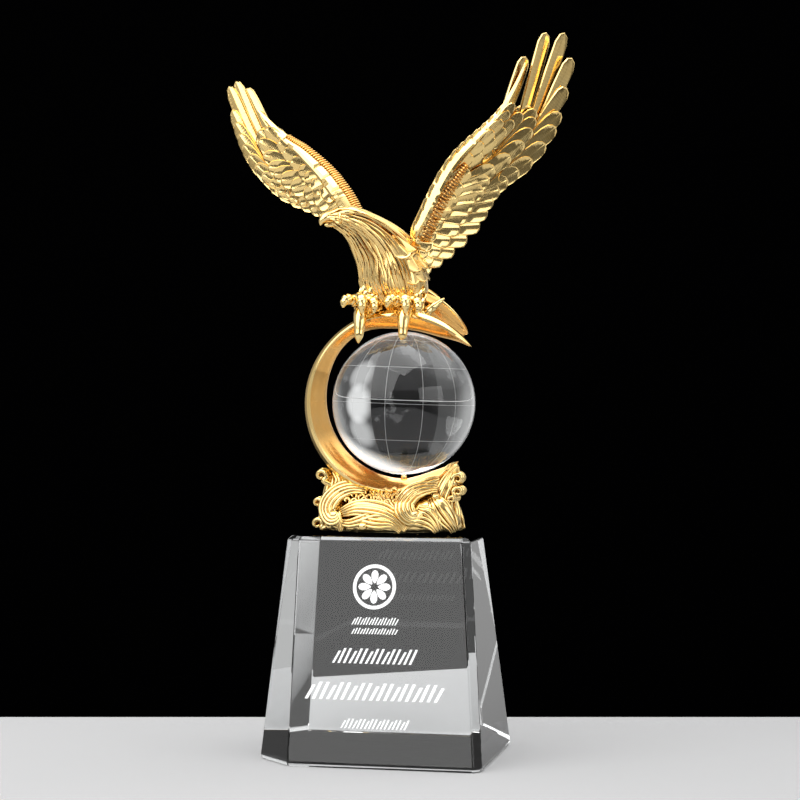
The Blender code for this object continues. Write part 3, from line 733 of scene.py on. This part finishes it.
SPINE = (
    (0.042, 0.034, -0.005), (0.04, 0.034, 0.035), (0.031, 0.028, 0.092), (0.02, 0.018, 0.15),
    (-0.01, 0.004, 0.205), (-0.05, -0.018, 0.252), (-0.09, -0.036, 0.29), (-0.124, -0.05, 0.312),
    (-0.155, -0.06, 0.322), (-0.178, -0.064, 0.324), (-0.196, -0.068, 0.325), (-0.214, -0.071, 0.322),
    (-0.226, -0.074, 0.312), (-0.231, -0.076, 0.298),
)
SPINE_RADII = (
    0.062, 0.094, 0.117, 0.12, 0.104, 0.083, 0.062, 0.05, 0.04, 0.03, 0.021, 0.016, 0.011, 0.004,
)
spine = vectors(SPINE)
axes_known = {}


def body_axes(share):
    share = round(share, 5)
    if share not in axes_known:
        centre = smooth_through(spine, share)
        ahead = heading(spine, share).normalized()
        front = Vector((0.0, -1.0, 0.0))
        front = (front - ahead * front.dot(ahead)).normalized()
        axes_known[share] = (centre, front, ahead.cross(front), smooth_through(SPINE_RADII, share))
    return axes_known[share]


def on_body(turn, share, lift=0.0):
    """A point over the body: turn 0 faces the viewer and a quarter turn is the back and nape."""
    centre, front, rise, radius = body_axes(share)
    radius += lift
    return centre + front * (radius * 0.94 * math.cos(turn)) + rise * (radius * math.sin(turn))


def body_at(turn, share):
    centre, front, rise, radius = body_axes(share)
    radius = (radius - 0.003) * math.sqrt(max(0.0, 1 - (2 * share - 1) ** 24))
    return centre + front * (radius * 0.94 * math.cos(turn)) + rise * (radius * math.sin(turn))


def plume(shape, root, tip, facing, width, thickness, sweep=0.0, roll=0.0, blunt=0.3, arch=0.0, around=20):
    """One feather: a flat blade with a fine quill and a raised rim, widest past its middle."""
    axis = tip - root
    length = axis.length
    axis.normalize()
    across = axis.cross(facing).normalized()
    across = (Matrix.Rotation(roll, 3, axis) @ across).normalized()
    normal = across.cross(axis).normalized()
    steps = ((0.0, 0.56), (0.05, 0.58), (0.12, 0.5), (0.86, 0.5), (0.94, 0.76), (1.0, 0.0))

    def at(turn, share):
        step = round(share * 10)
        face = 1 if step < 5 else -1
        scale, height = steps[step if step <= 5 else 10 - step]
        t = 0.5 + 0.5 * math.cos(turn)
        x = min(1.0, 0.55 + 0.75 * t)
        if t > 1 - blunt:
            x *= math.sqrt(max(0.0, 1 - ((t - 1 + blunt) / blunt) ** 2.6))
        if t < 0.06:
            x *= math.sqrt(max(0.0, t / 0.06))
        x *= scale if math.sin(turn) > 0 else -scale
        t = 0.5 + (t - 0.5) * (1 - (1 - max(scale, 0.86)) * width / length)
        if scale == 0.0:
            t = 0.5
        centre = root + axis * (length * t) + across * (sweep * length * (t - 1) * t)
        lifted = face * thickness * 0.5 * height * (1.25 - 0.4 * t) - arch * width * x * x
        return centre + across * (width * 0.5 * x) + normal * lifted

    skin(shape, around, 10, at)


body_shape = bmesh.new()
skin(body_shape, 48, 90, body_at)
random.seed(7)
for row in range(HACKLE_ROWS):
    top = 0.86 - 0.047 * row
    radius = smooth_through(SPINE_RADII, top)
    count = int(math.tau * radius / HACKLE_PITCH)
    for n in range(count):
        turn = math.tau * (n + 0.5 * (row % 2)) / count + random.uniform(-0.04, 0.04)
        side = ((turn + math.pi) % math.tau) - math.pi
        if top < FLANK_TOP and side > FLANK_FROM:
            continue
        wave = random.uniform(0.03, 0.09)
        long = 0.13 + 0.04 * random.random()
        points = []
        for k in range(5):
            share = k / 4
            drift = wave * math.sin(3.4 * share + 0.8 * row)
            lift = -0.002 + 0.0105 * share * (1 - 0.3 * share)
            points.append(on_body(turn + drift, max(0.01, top - long * share), lift))
        thick = HACKLE_PITCH * random.uniform(0.4, 0.56)
        sizes = [thick * share for share in (0.5, 0.9, 1.0, 0.75, 0.15)]
        outwards = on_body(turn, top) - body_axes(top)[0]
        skin(body_shape, 6, 9, bar_at(points, sizes, 0.85, outwards))
for row in range(FLANK_ROWS):
    share = 0.32 - 0.055 * row
    for n in range(FLANK_SCALES):
        turn = FLANK_FROM + 0.4 * n + 0.2 * (row % 2)
        facing = (on_body(turn, share) - body_axes(share)[0]).normalized()
        root = on_body(turn, share + 0.045, -0.004)
        tip = on_body(turn - 0.04, max(0.0, share - 0.06), 0.011)
        plume(body_shape, root, tip, facing, 0.078, 0.012, 0.0, 0.06, 0.5, 0.16)

# Parts of the head: their line, radii, flattening and place in body_gilts
HEAD_PARTS = (
    # The upper bill with its hook, and the lower bill
    (((-0.168, -0.066, 0.322), (-0.19, -0.07, 0.328), (-0.212, -0.073, 0.326), (-0.228, -0.076, 0.314),
      (-0.233, -0.077, 0.296)), (0.021, 0.0205, 0.018, 0.0115, 0.0025), 0.8, 1),
    (((-0.168, -0.066, 0.306), (-0.19, -0.07, 0.303), (-0.208, -0.073, 0.3), (-0.22, -0.075, 0.3)),
     (0.013, 0.012, 0.009, 0.003), 0.85, 1),
    # The gape, dark with painted shade, the cere and the brow
    (((-0.172, -0.081, 0.306), (-0.186, -0.088, 0.309), (-0.204, -0.088, 0.309), (-0.216, -0.084, 0.306)),
     (0.0024, 0.0032, 0.003, 0.0016), 1.0, 2),
    (((-0.168, -0.088, 0.345), (-0.163, -0.1, 0.33), (-0.162, -0.1, 0.312), (-0.166, -0.084, 0.298)),
     (0.004, 0.006, 0.006, 0.004), 1.0, 0),
    (((-0.176, -0.086, 0.338), (-0.156, -0.094, 0.34), (-0.134, -0.096, 0.342), (-0.11, -0.092, 0.34)),
     (0.004, 0.0085, 0.0085, 0.003), 0.8, 0),
    # The eye, and its lid and the nostril dark with painted shade
    (((-0.15, -0.0935, 0.326), (-0.145, -0.096, 0.3265), (-0.14, -0.0965, 0.326)),
     (0.0065, 0.0085, 0.0065), 1.0, 1),
    (((-0.158, -0.093, 0.324), (-0.145, -0.099, 0.3165), (-0.13, -0.0965, 0.324)),
     (0.0015, 0.0032, 0.0015), 1.0, 2),
    (((-0.188, -0.0885, 0.33), (-0.193, -0.09, 0.3305), (-0.198, -0.0885, 0.33)),
     (0.001, 0.003, 0.001), 1.0, 2),
)
for points, sizes, flat, gilt in HEAD_PARTS:
    line = vectors(points)
    skin(body_shape, 14, 24, bar_at(line, sizes, flat, FRONT_TO_REAR), gilt)
# A dark gilt that paints shade into the gape, the eyelid and the nostril.
painted_shade_gilt = gilding("painted_shade_gilt", (0.5, 0.27, 0.07, 1.0), (0.38, 0.19, 0.04, 1.0), 0.25, 0.06)
body_gilts = [satin_gilt.material, bright_gilt.material, painted_shade_gilt.material]
cast_with_eagle("gilt_body_and_head", body_shape, body_gilts, 50)


# Gilt wings: cast with the body. Flat feathers with fine raised rims lie in rows, under a broad smooth
# band along the leading edge. The near wing has slanting beads below its band, and the far wing has
# short bars across its own.
NEAR_LEAN = (0.035, 0.4, -0.25)
FAR_LEAN = (0.062, -0.4, -0.02)
FEATHER_THICKNESS = 0.013
feather_gilt = gilding("feather_gilt", (1.0, 0.79, 0.36, 1.0), (1.0, 0.66, 0.22, 1.0), 0.15, 0.08, 0.4)
wing_gilts = [feather_gilt.material, orange_gilt.material]


def wing_facing(lean):
    return Vector((lean[1], -1.0, lean[2])).normalized()


def wing_point(lean, side, height, rise=0.0):
    """A point of the wing's tilted plane, moved towards the viewer by rise."""
    return Vector((side, lean[0] + lean[1] * side + lean[2] * height, height)) + wing_facing(lean) * rise


def feather_row(shape, lean, keys, count, widths, level, roll, blunt=0.3, sweep=0.03):
    """A row of feathers, each key a tip, an angle and a length; widths and rolls run from first to last."""
    facing = wing_facing(lean) * (1 if level >= 0 else -1)
    keys = vectors(keys)
    for n in range(count):
        share = n / (count - 1)
        side, height, angle, length = smooth_through(keys, share)
        angle = math.radians(angle)
        tip = wing_point(lean, side, height, level * FEATHER_THICKNESS)
        inner = (side - length * math.cos(angle), height - length * math.sin(angle))
        root = wing_point(lean, *inner, level * FEATHER_THICKNESS * 0.35)
        width = widths[0] + (widths[1] - widths[0]) * share
        turned = (roll[0] + (roll[1] - roll[0]) * share) * (1 if level >= 0 else -1)
        turned += random.uniform(-0.02, 0.02)
        plume(shape, root, tip, facing, width, FEATHER_THICKNESS, sweep, turned, blunt, 0.02)


# The band's section from its feather side, over its crest and sloping face to its outer edge, and back
BAND_SECTION = (
    (-0.98, 0.2), (-0.9, 0.8), (-0.56, 1.08), (-0.1, 1.04), (0.9, -0.08), (0.98, -0.35), (0.7, -0.58),
    (0.1, -0.72), (-0.5, -0.68), (-0.86, -0.3),
)


def add_band(shape, lean, keys, rise, outer, scales):
    """The broad smooth edge of the wing, with small overlapping scales along its outer side."""
    facing = wing_facing(lean)
    line = [wing_point(lean, side, height, rise) for side, height, half in keys]
    sizes = [half for side, height, half in keys]

    def at(turn, share):
        corners = len(BAND_SECTION)
        across, forward = BAND_SECTION[round((turn % math.tau) / math.tau * corners) % corners]
        out = heading(line, share).normalized().cross(facing).normalized()
        half = smooth_through(sizes, share) * math.sqrt(max(0.0, 1 - (2 * share - 1) ** 24))
        centre = smooth_through(line, share)
        return centre + out * (outer * across * half) + facing * (forward * half * 0.9)

    skin(shape, len(BAND_SECTION), 90, at)
    for n in range(scales):
        share = 0.05 + 0.7 * n / scales
        half = smooth_through(sizes, share)
        here = smooth_through(line, share)
        ahead = (smooth_through(line, share + 0.02) - here).normalized()
        out = ahead.cross(facing).normalized() * outer
        start = here + out * (half * 0.66) + facing * (half * 0.2)
        end = start + ahead * (half * 2.3) + out * (half * 0.26) - facing * (half * 0.1)
        plume(shape, start, end, facing, half * 0.8, half * 0.35, 0.0, 0.2, 0.5, 0.06, 12)


NEAR_FINGERS = (
    (0.498, 0.909, 70, 0.285), (0.573, 0.997, 74, 0.384), (0.64, 1.0, 70, 0.421),
    (0.67, 0.914, 64, 0.357), (0.653, 0.809, 53, 0.293),
)
NEAR_FLIGHTS = (
    (0.632, 0.72, 44, 0.244), (0.605, 0.654, 40, 0.227), (0.547, 0.572, 37, 0.218),
    (0.484, 0.516, 30, 0.209), (0.433, 0.468, 23, 0.192), (0.398, 0.421, 16, 0.174),
    (0.371, 0.37, 11, 0.156), (0.335, 0.309, 6, 0.147), (0.273, 0.245, 0, 0.129),
    (0.217, 0.195, -7, 0.12), (0.164, 0.155, -16, 0.102),
)
NEAR_GREATER = (
    (0.533, 0.729, 52, 0.206), (0.532, 0.687, 42, 0.191), (0.508, 0.63, 37, 0.174),
    (0.45, 0.564, 31, 0.157), (0.379, 0.508, 25, 0.139), (0.362, 0.455, 17, 0.125),
    (0.322, 0.402, 13, 0.11), (0.29, 0.343, 6, 0.1), (0.25, 0.285, 2, 0.092),
    (0.203, 0.232, -4, 0.085), (0.168, 0.188, -14, 0.076),
)
NEAR_LESSER = (
    (0.48, 0.715, 52, 0.165), (0.44, 0.676, 44, 0.16), (0.4, 0.632, 39, 0.142),
    (0.338, 0.57, 33, 0.118), (0.285, 0.477, 21, 0.1), (0.256, 0.42, 17, 0.09),
    (0.228, 0.362, 10, 0.08), (0.19, 0.308, 5, 0.074), (0.166, 0.254, -2, 0.066),
    (0.148, 0.211, -10, 0.059),
)
NEAR_MARGINAL = (
    (0.448, 0.748, 55, 0.17), (0.425, 0.712, 52, 0.155), (0.392, 0.668, 46, 0.14),
    (0.348, 0.615, 42, 0.12), (0.3, 0.56, 38, 0.1),
)
NEAR_EDGE = (
    (0.088, 0.259, 0.013), (0.104, 0.298, 0.019), (0.12, 0.327, 0.021), (0.156, 0.4, 0.022),
    (0.199, 0.481, 0.022), (0.238, 0.538, 0.022), (0.278, 0.583, 0.02), (0.323, 0.628, 0.017),
    (0.374, 0.68, 0.013), (0.417, 0.734, 0.01), (0.451, 0.793, 0.008), (0.478, 0.85, 0.006),
    (0.492, 0.89, 0.004),
)
NEAR_BEADS = (
    (0.134, 0.262, 0.018), (0.163, 0.33, 0.019), (0.199, 0.401, 0.018), (0.239, 0.465, 0.015),
    (0.276, 0.521, 0.009),
)
FAR_FINGERS = (
    (-0.518, 0.83, 120, 0.233), (-0.558, 0.859, 116, 0.37), (-0.585, 0.842, 117, 0.4),
    (-0.573, 0.752, 119, 0.34),
)
FAR_FLIGHTS = (
    (-0.56, 0.706, 124, 0.3), (-0.541, 0.648, 129, 0.285), (-0.515, 0.593, 134, 0.268),
    (-0.481, 0.542, 142, 0.251), (-0.447, 0.494, 153, 0.233), (-0.407, 0.448, 170, 0.195),
    (-0.349, 0.408, 186, 0.158), (-0.294, 0.381, 198, 0.13), (-0.247, 0.347, 213, 0.111),
)
FAR_GREATER = (
    (-0.471, 0.669, 137, 0.18), (-0.469, 0.626, 149, 0.189), (-0.445, 0.564, 163, 0.179),
    (-0.426, 0.517, 178, 0.16), (-0.397, 0.492, 184, 0.141), (-0.361, 0.458, 192, 0.122),
    (-0.302, 0.418, 204, 0.104), (-0.254, 0.384, 220, 0.085),
)
FAR_LESSER = (
    (-0.44, 0.675, 140, 0.12), (-0.387, 0.616, 147, 0.1), (-0.368, 0.577, 158, 0.095),
    (-0.33, 0.527, 170, 0.085), (-0.301, 0.488, 188, 0.079), (-0.273, 0.45, 203, 0.069),
    (-0.226, 0.411, 220, 0.068),
)
FAR_EDGE = (
    (-0.47, 0.745, 0.006), (-0.43, 0.7, 0.009), (-0.397, 0.665, 0.012), (-0.354, 0.626, 0.017),
    (-0.311, 0.594, 0.021), (-0.263, 0.548, 0.026), (-0.218, 0.5, 0.029), (-0.182, 0.452, 0.031),
    (-0.146, 0.4, 0.031), (-0.118, 0.35, 0.029), (-0.096, 0.3, 0.024),
)

# Rows of feathers, the rear ones at a level below 0: tips, number, widths, level, rolls, bluntness, sweep
NEAR_ROWS = (
    (NEAR_FINGERS, 5, (0.058, 0.066), 0.0, (0.32, 0.3), 0.15, -0.06),
    (NEAR_GREATER, 9, (0.12, 0.11), 0.1, (0.0, 0.0), 0.3),
    (NEAR_FLIGHTS, 14, (0.068, 0.074), 0.25, (0.16, -0.26), 0.26),
    (NEAR_GREATER, 14, (0.06, 0.07), 0.95, (0.18, -0.28), 0.3),
    (NEAR_LESSER, 13, (0.056, 0.062), 1.6, (0.18, -0.28), 0.34),
    (NEAR_MARGINAL, 6, (0.046, 0.05), 2.1, (0.18, 0.1), 0.34),
    (NEAR_GREATER, 14, (0.074, 0.08), -0.95, (0.14, 0.14), 0.34),
    (NEAR_LESSER, 12, (0.066, 0.072), -1.55, (0.14, 0.14), 0.4),
)
FAR_ROWS = (
    (FAR_FINGERS, 4, (0.05, 0.052), 0.0, (-0.1, -0.1), 0.2, 0.12),
    (FAR_GREATER, 8, (0.11, 0.11), 0.1, (0.0, 0.0), 0.3),
    (FAR_FLIGHTS, 12, (0.06, 0.076), 0.25, (-0.16, -0.14), 0.26, 0.1),
    (FAR_GREATER, 9, (0.058, 0.074), 0.95, (-0.16, -0.14), 0.28, -0.03),
    (FAR_LESSER, 8, (0.054, 0.066), 1.55, (-0.16, -0.14), 0.34, -0.03),
    (FAR_GREATER, 9, (0.074, 0.078), -0.95, (-0.14, -0.14), 0.34, -0.03),
    (FAR_LESSER, 8, (0.064, 0.07), -1.55, (-0.14, -0.14), 0.4, -0.03),
)
BAND_RISE = 0.014
BAND_SCALES = 14
BEADS = 26
BARS = 46

near_shape = bmesh.new()
for row in NEAR_ROWS:
    feather_row(near_shape, NEAR_LEAN, *row)
add_band(near_shape, NEAR_LEAN, NEAR_EDGE, BAND_RISE, -1, BAND_SCALES)
beads = vectors(NEAR_BEADS)
for n in range(BEADS):
    side, height, half = smooth_through(beads, n / (BEADS - 1))
    start = wing_point(NEAR_LEAN, side - 0.95 * half, height + 0.45 * half, 0.026)
    middle = wing_point(NEAR_LEAN, side, height, 0.035)
    end = wing_point(NEAR_LEAN, side + 0.95 * half, height - 0.45 * half, 0.024)
    skin(near_shape, 8, 10, bar_at([start, middle, end], [0.0032, 0.004, 0.0032]), 1)
cast_with_eagle("gilt_near_wing", near_shape, wing_gilts, 30)

far_shape = bmesh.new()
for row in FAR_ROWS:
    feather_row(far_shape, FAR_LEAN, *row)
add_band(far_shape, FAR_LEAN, FAR_EDGE, BAND_RISE, -1, 0)
edge = vectors(FAR_EDGE)
for n in range(BARS):
    side, height, half = smooth_through(edge, 0.27 + 0.68 * n / (BARS - 1))
    start = wing_point(FAR_LEAN, side + 0.4 * half, height + 0.3 * half, 0.024)
    end = wing_point(FAR_LEAN, side + 1.12 * half, height + 0.68 * half, 0.0)
    middle = start.lerp(end, 0.5) + wing_facing(FAR_LEAN) * 0.004
    skin(far_shape, 8, 8, bar_at([start, middle, end], [0.0036, 0.0048, 0.0034]), 1)
cast_with_eagle("gilt_far_wing", far_shape, wing_gilts, 30)


# Gilt tail: cast with the body. A fan of broad blades with bright rims reaches down behind the
# crescent's upper horn, under two rows of shorter feathers.
TAIL_BLADES = 5
BLADE_WIDTH = 0.06
COVERT_ROWS = 2
COVERTS = 4

tail_shape = bmesh.new()
for n in range(TAIL_BLADES):
    fan = n / (TAIL_BLADES - 1)
    root = Vector((0.07, 0.04 + 0.055 * fan, 0.094 - 0.014 * fan))
    tip = Vector((0.294 - 0.045 * fan, 0.116 + 0.165 * fan, -0.084 - 0.012 * fan))
    facing = Vector((0.1, -0.85 + 0.7 * fan, -0.2)).normalized()
    plume(tail_shape, root, tip, facing, BLADE_WIDTH, 0.016, 0.14, 0.04, 0.62)
    beside = (tip - root).cross(facing).normalized() * -1
    rim = []
    for along, aside in ((0.0, 0.3), (0.35, 0.54), (0.7, 0.52), (1.0, 0.06)):
        rim.append(root.lerp(tip, along) + facing * 0.004 + beside * (BLADE_WIDTH * aside))
    skin(tail_shape, 8, 24, bar_at(rim, [0.006, 0.006, 0.005, 0.002]), 1)
for row in range(COVERT_ROWS):
    for n in range(COVERTS):
        fan = (n + 0.5 * row) / COVERTS
        root = Vector((0.07, 0.04 + 0.06 * fan, 0.105 - 0.01 * row))
        tip = Vector((0.19 - 0.045 * row - 0.02 * fan, 0.06 + 0.11 * fan, 0.02 + 0.025 * row))
        facing = Vector((0.45, -0.7 + 0.6 * fan, 0.55)).normalized()
        plume(tail_shape, root, tip + facing * 0.012, facing, BLADE_WIDTH, 0.014, 0.0, 0.06, 0.4, 0.05)
cast_with_eagle("gilt_tail", tail_shape, [orange_gilt.material, bright_gilt.material], 30)


# Gilt legs and feet: cast with the body. Feathered thighs end in knuckled toes with scutes, whose hooked
# claws grip the crescent and reach down in front of the globe.
TOE_SIZES = (1.0, 0.94, 1.1, 0.9, 1.02, 0.84, 0.6, 0.14)
CLAW_SIZES = (1.0, 0.92, 1.06, 0.84, 0.92, 0.72, 0.7, 0.52, 0.2)
KNUCKLE_RIPPLE = 0.16
THIGH_ROWS = 4
THIGH_FEATHERS = 9
# Thighs: their line and radii
THIGHS = (
    (((-0.02, 0.01, 0.085), (-0.055, -0.015, 0.035), (-0.082, -0.04, 0.004)), (0.06, 0.042, 0.034)),
    (((0.078, 0.01, 0.085), (0.08, -0.012, 0.035), (0.07, -0.04, 0.004)), (0.06, 0.05, 0.036)),
)
FEET_SIDES = (-0.088, 0.066)
PALM = ((-0.022, -0.052, 0.004), (0.0, -0.06, 0.006), (0.022, -0.052, 0.0))
# Toes of a foot: their line beyond the foot's middle, radius, knuckles and sizes
TOES = (
    (((-0.03, -0.085, 0.034), (-0.056, -0.108, 0.03), (-0.066, -0.118, 0.004)), 0.018, 7, TOE_SIZES),
    (((-0.004, -0.092, 0.04), (0.002, -0.122, 0.02), (0.004, -0.132, -0.02)), 0.019, 7, TOE_SIZES),
    (((0.032, -0.08, 0.03), (0.046, -0.105, 0.014), (0.044, -0.116, -0.016)), 0.018, 7, TOE_SIZES),
    (((-0.004, -0.095, -0.02), (-0.006, -0.112, -0.062), (-0.01, -0.118, -0.122)), 0.025, 4, CLAW_SIZES),
)
REAR_TOE = ((0.08, 0.01, 0.01), (0.125, 0.02, -0.014), (0.165, 0.03, 0.012), (0.211, 0.04, 0.046))

feet_shape = bmesh.new()


def add_toe(points, thick, knuckles, sizes):
    """A toe with its knuckles and hooked claw."""
    line = vectors(points)
    radii = [thick * size for size in sizes]
    skin(feet_shape, 14, 44, bar_at(line, radii, 0.9, ripple=KNUCKLE_RIPPLE, ripples=knuckles))


for line, sizes in THIGHS:
    thigh = vectors(line)
    skin(feet_shape, 20, 20, bar_at(thigh, sizes))
    near = bar_at(thigh, [size + 0.002 for size in sizes])
    clear = bar_at(thigh, [size + 0.007 for size in sizes])
    for row in range(THIGH_ROWS):
        for n in range(THIGH_FEATHERS):
            turn = math.tau * (n + 0.5 * (row % 2)) / THIGH_FEATHERS
            top = 0.05 + 0.2 * row
            strand = [near(turn, top), near(turn + 0.08, min(0.97, top + 0.16))]
            strand.append(clear(turn + 0.14, min(0.97, top + 0.32)))
            skin(feet_shape, 6, 10, bar_at(strand, [0.008, 0.011, 0.003], 0.7))
for side in FEET_SIDES:
    palm = [Vector((side + x, y, z)) for x, y, z in PALM]
    skin(feet_shape, 18, 14, bar_at(palm, (0.02, 0.025, 0.02)))
    for line, thick, knuckles, sizes in TOES:
        points = [(side, -0.048, 0.0)] + [(side + x, y, z) for x, y, z in line]
        add_toe(points, thick, knuckles, sizes)
add_toe(REAR_TOE, 0.017, 5, TOE_SIZES)
cast_with_eagle("gilt_legs_and_feet", feet_shape, [bright_gilt.material], 60)
